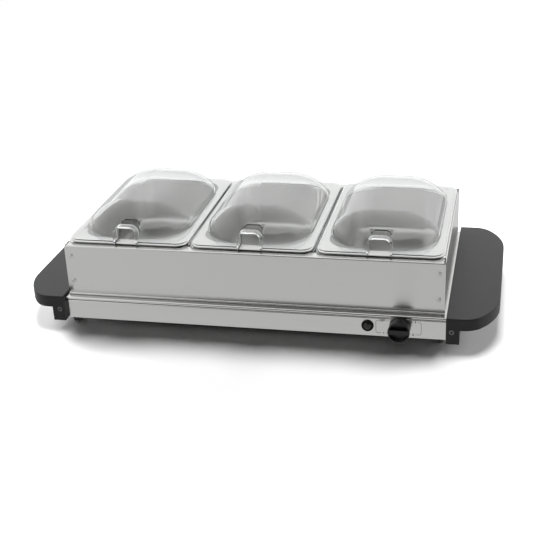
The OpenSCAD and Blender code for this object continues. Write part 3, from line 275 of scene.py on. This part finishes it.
finishes = {
    # a mirror with fine lines: what it shows is drawn out at right angles to them
    "polished_sheet": rolled_steel("stainless_bright_cold_rolled", "#d3d3d1", 220, 1.2, 0.19, 0.24,
                                   0.012, 0.9),
    # buffed after drawing: a soft glow with no lines
    "drawn_pan_steel": rolled_steel("stainless_deep_drawn_buffed", "#dededc", 60, 30, 0.36, 0.44, 0.02, 0.0),
    # plating over plain sheet: greyer, with broad, faint blotches
    "plated_sheet": rolled_steel("mild_steel_zinc_plated_sheet", "#a9acad", 40, 14, 0.30, 0.45, 0.15, 0.0),
}
print("rolled finishes:", sorted(finishes))

# %% [markdown]
# Clear lids. Styrene-acrylonitrile is moulded against polished steel, so it is as clear as glass, bends
# light a little more and is never quite flat: broad, shallow ripples follow the way that the plastic flowed.

# %% Clear moulding
RIPPLE, RIPPLE_DEPTH = 28, 0.4
clear, tree, shader = finish("san_clear_moulded", "#fbfcfc", 0.0, 0.015, Transmission_Weight=1.0, IOR=1.57)
place = add(tree, "ShaderNodeTexCoord")
flow = add(tree, "ShaderNodeTexNoise", {"Scale": per_mm(RIPPLE), "Detail": 1.0},
           {"Vector": place.outputs["Object"]})
bump = add(tree, "ShaderNodeBump", {"Strength": 0.02, "Distance": RIPPLE_DEPTH * MM},
           {"Height": flow.outputs[0]})
tree.links.new(bump.outputs[0], shader.inputs["Normal"])
finishes["clear_lid"] = clear
print("made", clear.name)

# %% [markdown]
# Moulded and cast finishes. Most of the other pieces are plain stuff whose surface is broken up by a grain:
# the spark-eroded skin of a handle, the bloom on rubber, the blotches in zinc plating. One function makes
# them all from two colours, two roughnesses, the grain's size and its depth. Grains finer than half a
# millimetre are drawn at that size or above, because finer ones don't show at this distance.

# %% Grained finishes
GRAINS_TO_CLOUD = 24    # the two colours drift over clouds this many grains wide


def grained(name, dark, light, metallic, smooth, rough, grain, relief, **sockets):
    material, tree, shader = finish(name, dark, metallic, smooth, **sockets)
    place = add(tree, "ShaderNodeTexCoord")
    cells = add(tree, "ShaderNodeTexNoise", {"Scale": per_mm(grain), "Detail": 2.0},
                {"Vector": place.outputs["Object"]})
    cloud = add(tree, "ShaderNodeTexNoise", {"Scale": per_mm(grain * GRAINS_TO_CLOUD), "Detail": 2.0},
                {"Vector": place.outputs["Object"]})
    tint = add(tree, "ShaderNodeMix", {6: linear(dark), 7: linear(light)}, {0: cloud.outputs[0]},
               data_type="RGBA")
    tree.links.new(tint.outputs[2], shader.inputs["Base Color"])
    gloss = add(tree, "ShaderNodeMapRange",
                {"From Min": NOISE_LOW, "From Max": NOISE_HIGH, "To Min": smooth, "To Max": rough},
                {"Value": cells.outputs[0]})
    tree.links.new(gloss.outputs[0], shader.inputs["Roughness"])
    bump = add(tree, "ShaderNodeBump", {"Strength": 0.5, "Distance": relief * MM},
               {"Height": cells.outputs[0]})
    tree.links.new(bump.outputs[0], shader.inputs["Normal"])
    return material


finishes.update({
    # an even, dull black: the grain scatters every reflection
    "handle_moulding": grained("abs_black_spark_eroded", "#101011", "#171718", 0, 0.42, 0.55, 0.9, 0.10,
                               Specular_IOR_Level=0.4),
    # smoother than the handles: the edges shine and the flats stay dark
    "knob_moulding": grained("abs_black_satin_moulded", "#111112", "#161617", 0, 0.32, 0.45, 0.7, 0.04,
                             Specular_IOR_Level=0.45),
    # a polished black that shows little more than a glint on its edge
    "bezel_moulding": grained("abs_black_gloss_moulded", "#0a0a0a", "#0e0e0e", 0, 0.16, 0.24, 0.8, 0.01,
                              Specular_IOR_Level=0.12),
    # nearly black while the lamp is off, with a hint of red
    "lamp_lens": grained("polycarbonate_smoked_lens", "#2c2524", "#342a28", 0, 0.12, 0.2, 1.2, 0.01),
    # thin, pale and half clear
    "neon_glass": grained("soda_glass_drawn", "#e9d5c6", "#f0e2d6", 0, 0.03, 0.08, 3, 0.005, Alpha=0.4),
    # a pale grey metal, faintly blotched
    "zinc_fasteners": grained("steel_screws_zinc_plated", "#9fa1a1", "#b4b6b5", 1, 0.28, 0.42, 0.8, 0.01),
    # a darker metal: a soft ring of light on each head
    "black_screws": grained("steel_screws_nickel_plated", "#707072", "#7c7c7e", 1, 0.28, 0.4, 0.8, 0.01),
    # pale and nearly matt
    "rivets": grained("aluminium_rivets_drawn", "#d4d4d3", "#e0e0df", 1, 0.45, 0.6, 0.9, 0.01),
    # a plain light grey with a soft shine
    "spreader_aluminium": grained("aluminium_mill_finish", "#c2c3c4", "#cfd0d0", 1, 0.3, 0.42, 2, 0.01),
    # baked to a brown grey with almost no shine
    "element_sheath": grained("steel_sheath_heat_oxidised", "#3b3836", "#4c4744", 1, 0.5, 0.65, 1.5, 0.02),
    # a warm silver
    "pin_steel": grained("steel_pins_nickel_plated", "#b3b0a8", "#c2bfb6", 1, 0.22, 0.35, 0.8, 0.01),
    # dark brown and dull
    "phenolic": grained("phenolic_moulded", "#33291f", "#3d3126", 0, 0.45, 0.6, 0.7, 0.03),
    # chalky whites
    "terminal_ceramic": grained("steatite_fired", "#e4e0d6", "#eeeae2", 0, 0.6, 0.75, 0.6, 0.03),
    "fuse_ceramic": grained("fuse_body_fired", "#dcdbd7", "#e8e7e3", 0, 0.55, 0.7, 0.6, 0.02),
    # yellow, and bright where the tool has cut
    "brass_screws": grained("brass_turned", "#b08d4a", "#c19d58", 1, 0.24, 0.36, 0.7, 0.01),
    # soft blacks without shine
    "gland_rubber": grained("nitrile_rubber_moulded", "#161616", "#1d1d1d", 0, 0.6, 0.75, 0.7, 0.05),
    "foot_rubber": grained("foot_rubber_moulded", "#191919", "#222222", 0, 0.65, 0.8, 0.7, 0.06),
    # matt sleeves in the colours of mains wiring
    "lead_brown": grained("silicone_sleeve_brown", "#54301c", "#5f3722", 0, 0.5, 0.6, 0.9, 0.02),
    "lead_blue": grained("silicone_sleeve_blue", "#2a4e8f", "#32589b", 0, 0.5, 0.6, 0.9, 0.02),
    "lead_green": grained("silicone_sleeve_earth", "#6d9a2c", "#a9b338", 0, 0.5, 0.6, 0.9, 0.02),
})
print("finishes:", len(finishes))

# %% [markdown]
# The part's record names a material slot for every solid. Each slot has one finish above, so dressing the
# solids is a matter of looking it up.

# %% Dress the solids
SLOT = {part["node"]: part["material_slot"] for part in frame["record"]["subparts"]}
for node, slot in SLOT.items():
    skin = NODES[node].data.materials
    skin.clear()
    skin.append(finishes[slot])
print("solids dressed:", len(SLOT))

# %% [markdown]
# Rounded edges. A moulding comes out of its tool with small radii, and those radii are what the eye reads as
# plastic: each catches a thin line of light. The solids have sharp edges there, so the moulded pieces are
# copied, the copies' loose triangles are joined up, and the sharp edges that show are bevelled.

# %% A copy that can be bevelled
BODY = {node: body for body, nodes in frame["record"]["behaviour"]["bodies"].items() for node in nodes}
WELD = 0.002
SHARP = 40              # degrees, as are the flat and crease angles below


def select_only(made):
    select_none()
    bpy.context.view_layer.objects.active = made
    made.select_set(True)


def twin(node, name, flat=0.4):
    made = bpy.data.objects.new(name, NODES[node].data.copy())
    made.data.name = name
    bpy.context.scene.collection.objects.link(made)
    select_only(made)
    bpy.ops.object.mode_set(mode="EDIT")
    bpy.ops.mesh.select_mode(type="EDGE")
    bpy.ops.mesh.select_all(action="SELECT")
    bpy.ops.mesh.remove_doubles(threshold=WELD * MM)
    bpy.ops.mesh.dissolve_limited(angle_limit=math.radians(flat))
    bpy.ops.object.mode_set(mode="OBJECT")
    return made


def round_edges(made, radius, steps, shows):
    bpy.ops.object.mode_set(mode="EDIT")
    bpy.ops.mesh.select_all(action="DESELECT")
    bpy.ops.mesh.edges_select_sharp(sharpness=math.radians(SHARP))
    bpy.ops.object.mode_set(mode="OBJECT")
    points = made.data.vertices
    points.foreach_set("select", [False] * len(points))
    made.data.polygons.foreach_set("select", [False] * len(made.data.polygons))
    chosen = 0
    for edge in made.data.edges:
        a, b = (points[v].co / MM for v in edge.vertices)
        edge.select = edge.select and shows(a, b)
        chosen += edge.select
    bpy.ops.object.mode_set(mode="EDIT")
    bpy.ops.mesh.bevel(offset=radius * MM, segments=steps, affect="EDGES", profile=0.5)
    bpy.ops.object.mode_set(mode="OBJECT")
    print(made.name, "edges rounded:", chosen, "faces:", len(made.data.polygons))


def stand_for(made, node, crease):
    select_only(made)
    bpy.ops.object.shade_smooth_by_angle(angle=math.radians(crease))
    even = made.modifiers.new("even_normals", "WEIGHTED_NORMAL")
    even.keep_sharp = True
    bpy.ops.object.modifier_apply(modifier=even.name)
    made.data.materials.clear()
    made.data.materials.append(finishes[SLOT[node]])
    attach(made, BODY[node])
    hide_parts(node)


print("bodies:", sorted(set(BODY.values())))

# %% [markdown]
# The handles are shallow trays, moulded upside down: a board with an oval end and a wall that wraps the base.
# Only the edges that a hand or an eye meets are rounded: the board's rim and the mouths of the screw wells.
# The ribs inside keep their sharp edges, as they do in the real tool.

# %% Handles
RIM_R, WELL_EDGE_R = 1.5, 0.5
NEAR = 0.1              # a point this close to a face counts as on it
CREASE = 35
SCREW_LOW, SCREW_HIGH = (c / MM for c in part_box("handle_screws"))
HEAD_R = (SCREW_HIGH.z - SCREW_LOW.z) / 2
HEAD_X, HEAD_Z = SCREW_HIGH.x - HEAD_R, SCREW_HIGH.z - HEAD_R
WELL_R = HEAD_R + 1.2


def at_well(point, face):
    return abs(point.y) > face - NEAR and math.hypot(abs(point.x) - HEAD_X, point.z - HEAD_Z) < WELL_R


for side in ("left", "right"):
    node = side + "_handle"
    low, high = (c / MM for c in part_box(node))
    made = twin(node, node + "_moulding")
    round_edges(made, RIM_R, 4, lambda a, b: min(a.z, b.z) > high.z - NEAR)
    round_edges(made, WELL_EDGE_R, 3, lambda a, b: at_well(a, high.y) and at_well(b, high.y))
    stand_for(made, node, CREASE)

# %% [markdown]
# The knob has two pockets that leave a bar for finger and thumb. Their mouths get a half-millimetre radius:
# seen from above, those radii are the two pale lines that make the bar readable. The lamp's ring is a turned
# shape with the same kind of soft edge.

# %% Knob and lamp ring
MOUTH_R, KNOB_WALL, RING_R = 0.5, 0.9, 0.4
low, high = (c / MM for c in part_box("control_knob"))
KNOB_FACE, KNOB_R = low.y, (high.x - low.x) / 2
KNOB_X, KNOB_Z = (low.x + high.x) / 2, (low.z + high.z) / 2


def at_mouth(point):
    inside = math.hypot(point.x - KNOB_X, point.z - KNOB_Z) < KNOB_R - KNOB_WALL
    return inside and point.y < KNOB_FACE + NEAR


made = twin("control_knob", "control_knob_moulding")
round_edges(made, MOUTH_R, 3, lambda a, b: at_mouth(a) and at_mouth(b))
stand_for(made, "control_knob", CREASE)
RING_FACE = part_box("lamp_bezel")[0].y / MM
made = twin("lamp_bezel", "lamp_bezel_moulding")
round_edges(made, RING_R, 3, lambda a, b: max(a.y, b.y) < RING_FACE + NEAR)
stand_for(made, "lamp_bezel", CREASE)

# %% [markdown]
# The clear lids catch light on the edges of the hoop over the spoon slot. A real hoop leaves its tool with
# a small radius all round, so the copies' hoops are bevelled and their domes shaded smooth. A dome is made
# of many narrow facets, so hardly any of them are merged, and a lower crease angle keeps hoop and dome apart.

# %% Lids
HOOP_HALF, HOOP_FOOT, HOOP_R = 17, 4, 0.5
DOME_FLAT, DOME_CREASE = 0.05, 21


def on_hoop(point, low, middle):
    in_front = point.y < low.y + NEAR and point.z > low.z + HOOP_FOOT
    return in_front and abs(point.x - middle) < HOOP_HALF


for side in ("left", "centre", "right"):
    node = "lid_" + side
    low, high = (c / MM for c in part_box(node))
    middle = (low.x + high.x) / 2
    made = twin(node, node + "_moulding", flat=DOME_FLAT)
    round_edges(made, HOOP_R, 3, lambda a, b: on_hoop(a, low, middle) and on_hoop(b, low, middle))
    stand_for(made, node, DOME_CREASE)

# %% [markdown]
# A drawn pan's rim is turned down all round. The lowest part of that lip is taken to lean inwards, as a
# spring-back in the press can leave it. Seen from above, a dark gap then runs below each lid's edge. The
# copy's lip is drawn in level by level, the lowest level most, by a resize about the pan's middle.

# %% Pans
PAN_CORNER, LIP_THICK, LEAN_TOP, LEAN = 14.6, 1.2, 2.1, 5.0
SAME_LEVEL = 0.006
SHEET_CREASE = 30
FRAME_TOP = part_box("frame_front")[1].z / MM


def from_edge(point, middle, half):
    past_x = max(abs(point.x - middle.x) - half.x + PAN_CORNER, 0)
    past_y = max(abs(point.y - middle.y) - half.y + PAN_CORNER, 0)
    return PAN_CORNER - math.hypot(past_x, past_y)


for side in ("left", "centre", "right"):
    node = "pan_" + side
    low, high = (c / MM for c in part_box(node))
    middle, half = (low + high) / 2, (high - low) / 2
    made = twin(node, node + "_drawn")
    points = [point.co / MM for point in made.data.vertices]
    lip = [at.z for at in points if from_edge(at, middle, half) < LIP_THICK]
    levels = sorted({round(z, 2) for z in lip if z < FRAME_TOP + LEAN_TOP})
    bpy.ops.object.mode_set(mode="EDIT")
    bpy.ops.mesh.select_mode(type="VERT")
    for level in levels:
        drawn_in = LEAN * (FRAME_TOP + LEAN_TOP - level) / LEAN_TOP
        bpy.ops.mesh.select_all(action="DESELECT")
        bpy.ops.object.mode_set(mode="OBJECT")
        for point in made.data.vertices:
            at = point.co / MM
            point.select = abs(at.z - level) < SAME_LEVEL and from_edge(at, middle, half) < LIP_THICK
        bpy.ops.object.mode_set(mode="EDIT")
        bpy.ops.transform.resize(value=(1 - drawn_in / half.x, 1 - drawn_in / half.y, 1),
                                 center_override=(middle.x * MM, middle.y * MM, level * MM))
    bpy.ops.mesh.select_mode(type="EDGE")
    bpy.ops.object.mode_set(mode="OBJECT")
    stand_for(made, node, SHEET_CREASE)
    print(made.name, "lip levels:", levels, "faces:", len(made.data.polygons))

# %% [markdown]
# The handle screws have a flange that fills the mouth of the well and a hexagon socket: seen from the front,
# a pale ring round a dark hole. Boolean modifiers add four flanges with a rounded rim and then sink the
# sockets with six-sided bars. Each set of four is joined into one mesh first.

# %% Screws
SOCKET_R, SOCKET_DEEP, SOCKET_SIDES = 1.8, 4.0, 6
FLANGE_R, FLANGE_SIDES, FLANGE_RIM = 3.3, 40, 0.45
FLANGE_LOW, FLANGE_HIGH = SCREW_HIGH.y - 0.6, SCREW_HIGH.y + 0.35


def four_bars(radius, start, end, sides):
    bars = []
    for sx in (-1, 1):
        for sy in (-1, 1):
            place = Vector((sx * HEAD_X, sy * (start + end) / 2, HEAD_Z)) * MM
            select_none()
            bpy.ops.mesh.primitive_cylinder_add(vertices=sides, radius=radius * MM, depth=(end - start) * MM,
                                                location=place, rotation=(math.radians(90), 0, 0))
            bars.append(bpy.context.object)
            bpy.ops.object.transform_apply(location=True, rotation=True, scale=True)
    for bar in bars:
        bar.select_set(True)
    bpy.ops.object.join()
    return bpy.context.object


sockets = four_bars(SOCKET_R, SCREW_HIGH.y - SOCKET_DEEP, SCREW_HIGH.y + SOCKET_DEEP, SOCKET_SIDES)
flanges = four_bars(FLANGE_R, FLANGE_LOW, FLANGE_HIGH, FLANGE_SIDES)
round_edges(flanges, FLANGE_RIM, 3, lambda a, b: min(abs(a.y), abs(b.y)) > SCREW_HIGH.y)
made = twin("handle_screws", "handle_screws_socket")
for bars, operation in ((flanges, "UNION"), (sockets, "DIFFERENCE")):
    step = made.modifiers.new(operation.lower(), "BOOLEAN")
    step.operation = operation
    step.solver = "EXACT"
    step.object = bars
    bpy.ops.object.modifier_apply(modifier=step.name)
    bpy.data.objects.remove(bars, do_unlink=True)
stand_for(made, "handle_screws", CREASE)
print("screw faces:", len(made.data.polygons))

# %% [markdown]
# The frame's long sheets are tucked in by less than a millimetre at the foot. The tuck turns the sheet's
# lowest few millimetres towards the plate, which they mirror as a dark band. The copy of the sheet is
# bisected into narrow strips, and each cut is pushed in a little further than the one above it.

# %% A tucked sheet
TUCK, TUCK_TOP, TUCK_FOOT, STRIPS = 0.75, 11.0, 3.0, 8
CUT_SLACK = 0.01


def tucked_sheet(node, low, sign):
    made = twin(node, node + "_sheet")
    bpy.ops.object.mode_set(mode="EDIT")
    cuts = [TUCK_FOOT + (TUCK_TOP - TUCK_FOOT) * i / STRIPS for i in range(STRIPS + 1)]
    for cut in cuts:
        bpy.ops.mesh.select_all(action="SELECT")
        bpy.ops.mesh.bisect(plane_co=(0, 0, (low.z + cut) * MM), plane_no=(0, 0, 1))
    bpy.ops.mesh.select_mode(type="VERT")
    before = 0.0
    for cut in reversed(cuts[:-1]):
        pushed = TUCK * ((TUCK_TOP - cut) / (TUCK_TOP - TUCK_FOOT)) ** 2
        bpy.ops.mesh.select_all(action="DESELECT")
        bpy.ops.object.mode_set(mode="OBJECT")
        for point in made.data.vertices:
            point.select = point.co.z / MM < low.z + cut + CUT_SLACK
        bpy.ops.object.mode_set(mode="EDIT")
        bpy.ops.transform.translate(value=(0, -sign * (pushed - before) * MM, 0))
        before = pushed
    bpy.ops.mesh.select_mode(type="EDGE")
    bpy.ops.object.mode_set(mode="OBJECT")
    stand_for(made, node, SHEET_CREASE)
    print(made.name, "strips:", STRIPS, "faces:", len(made.data.polygons))


# %% [markdown]
# The foot of each long sheet ends in a rolled edge, so that nobody is cut when the frame is lifted off. Its
# round shoulder shows as a bright line below the tuck. A bar is added at the sheet's foot, and its two long
# outer edges are bevelled until they nearly meet.

# %% A rolled edge
BEAD_THICK, BEAD_HIGH, BEAD_R, BEAD_LIFT = 2.2, 3.0, 1.4, 0.05
ON_LINE = 0.01


def foot_bead(side, low, high, sign):
    face = (low.y if sign < 0 else high.y) - sign * TUCK
    outside = face + sign * BEAD_THICK
    place = Vector((0, face + sign * BEAD_THICK / 2, low.z + BEAD_LIFT + BEAD_HIGH / 2)) * MM
    select_none()
    bpy.ops.mesh.primitive_cube_add(size=1, location=place)
    bead = bpy.context.object
    bead.name = bead.data.name = "frame_" + side + "_bead"
    bead.scale = ((high.x - low.x) * MM, BEAD_THICK * MM, BEAD_HIGH * MM)
    bpy.ops.object.transform_apply(location=True, rotation=True, scale=True)
    round_edges(bead, BEAD_R, 6, lambda a, b: max(abs(a.y - outside), abs(b.y - outside)) < ON_LINE
                and abs(a.z - b.z) < ON_LINE)
    bpy.ops.object.shade_smooth_by_angle(angle=math.radians(CREASE))
    bead.data.materials.append(finishes["polished_sheet"])
    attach(bead, "frame")


for side, sign in (("front", -1), ("rear", 1)):
    node = "frame_" + side
    low, high = (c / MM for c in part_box(node))
    tucked_sheet(node, low, sign)
    foot_bead(side, low, high, sign)

# %% [markdown]
# The dial's markings are pad-printed on the panel in thin black ink: a rounded outline, broken by OFF and
# three numbers. The outline starts as a plane, gets round corners from a vertex bevel and becomes a line by
# an inset. Bisects beside each word then cut out the stretch of line where the word goes.

# %% Dial outline
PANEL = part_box("front_panel")[0].y / MM
PRINT_LOW, PRINT_HIGH = Vector((164.1, 0, 11.3)), Vector((221.9, 0, 29.2))
INK_OUT, INK_LINE, INK_CORNER = 0.03, 0.45, 3
WORD_BAND = 1.0
STANDING = (math.radians(90), 0, 0)
WORDS = (("OFF", 172.3, PRINT_HIGH.z, 4.6), ("3", 214.1, PRINT_HIGH.z, 3.0),
         ("1", 174.3, PRINT_LOW.z, 3.0), ("2", 211.4, PRINT_LOW.z, 3.0))


def on_panel(x, z):
    return Vector((x, PANEL - INK_OUT, z)) * MM


middle = (PRINT_LOW + PRINT_HIGH) / 2
select_none()
bpy.ops.mesh.primitive_plane_add(size=1, location=on_panel(middle.x, middle.z), rotation=STANDING)
ink = bpy.context.object
ink.name = ink.data.name = "dial_print"
ink.scale = ((PRINT_HIGH.x - PRINT_LOW.x) * MM, (PRINT_HIGH.z - PRINT_LOW.z) * MM, 1)
bpy.ops.object.transform_apply(location=True, rotation=True, scale=True)
bpy.ops.object.mode_set(mode="EDIT")
bpy.ops.mesh.select_all(action="SELECT")
bpy.ops.mesh.bevel(offset=INK_CORNER * MM, segments=6, affect="VERTICES")
bpy.ops.mesh.select_all(action="SELECT")
bpy.ops.mesh.inset(thickness=INK_LINE * MM)
bpy.ops.mesh.delete(type="FACE")
for _, x, _, half in WORDS:
    for cut in (x - half, x + half):
        bpy.ops.mesh.select_all(action="SELECT")
        bpy.ops.mesh.bisect(plane_co=(cut * MM, 0, 0), plane_no=(1, 0, 0))
bpy.ops.mesh.select_mode(type="FACE")
bpy.ops.mesh.select_all(action="DESELECT")
bpy.ops.object.mode_set(mode="OBJECT")
for face in ink.data.polygons:
    at = face.center / MM
    face.select = any(abs(at.x - x) < half and abs(at.z - z) < WORD_BAND for _, x, z, half in WORDS)
bpy.ops.object.mode_set(mode="EDIT")
bpy.ops.mesh.delete(type="FACE")
bpy.ops.object.mode_set(mode="OBJECT")
print("outline faces:", len(ink.data.polygons))

# %% [markdown]
# The words are text, made a little bolder, turned into a mesh and joined to the outline. A thin solidify
# gives the whole print the film that real ink has, just clear of the panel.

# %% Dial words
TYPE_SIZE, TYPE_BOLD, INK_FILM = 4.2, 0.12, 0.024
for word, x, z, _ in WORDS:
    select_none()
    bpy.ops.object.text_add(location=on_panel(x, z), rotation=STANDING)
    made = bpy.context.object
    made.data.body = word
    made.data.size = TYPE_SIZE * MM
    made.data.offset = TYPE_BOLD * MM
    made.data.align_x = made.data.align_y = "CENTER"
    bpy.ops.object.convert(target="MESH")
    bpy.ops.object.transform_apply(location=True, rotation=True, scale=True)
    ink.select_set(True)
    bpy.context.view_layer.objects.active = ink
    bpy.ops.object.join()
film = ink.modifiers.new("film", "SOLIDIFY")
film.thickness = INK_FILM * MM
film.offset = -1
bpy.ops.object.modifier_apply(modifier=film.name)
ink.data.materials.clear()
# a thin, dull black that lets no metal through
ink.data.materials.append(grained("pad_ink_black", "#1c1c1c", "#262626", 0, 0.5, 0.65, 0.5, 0.005))
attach(ink, "base")
print("print faces:", len(ink.data.polygons))
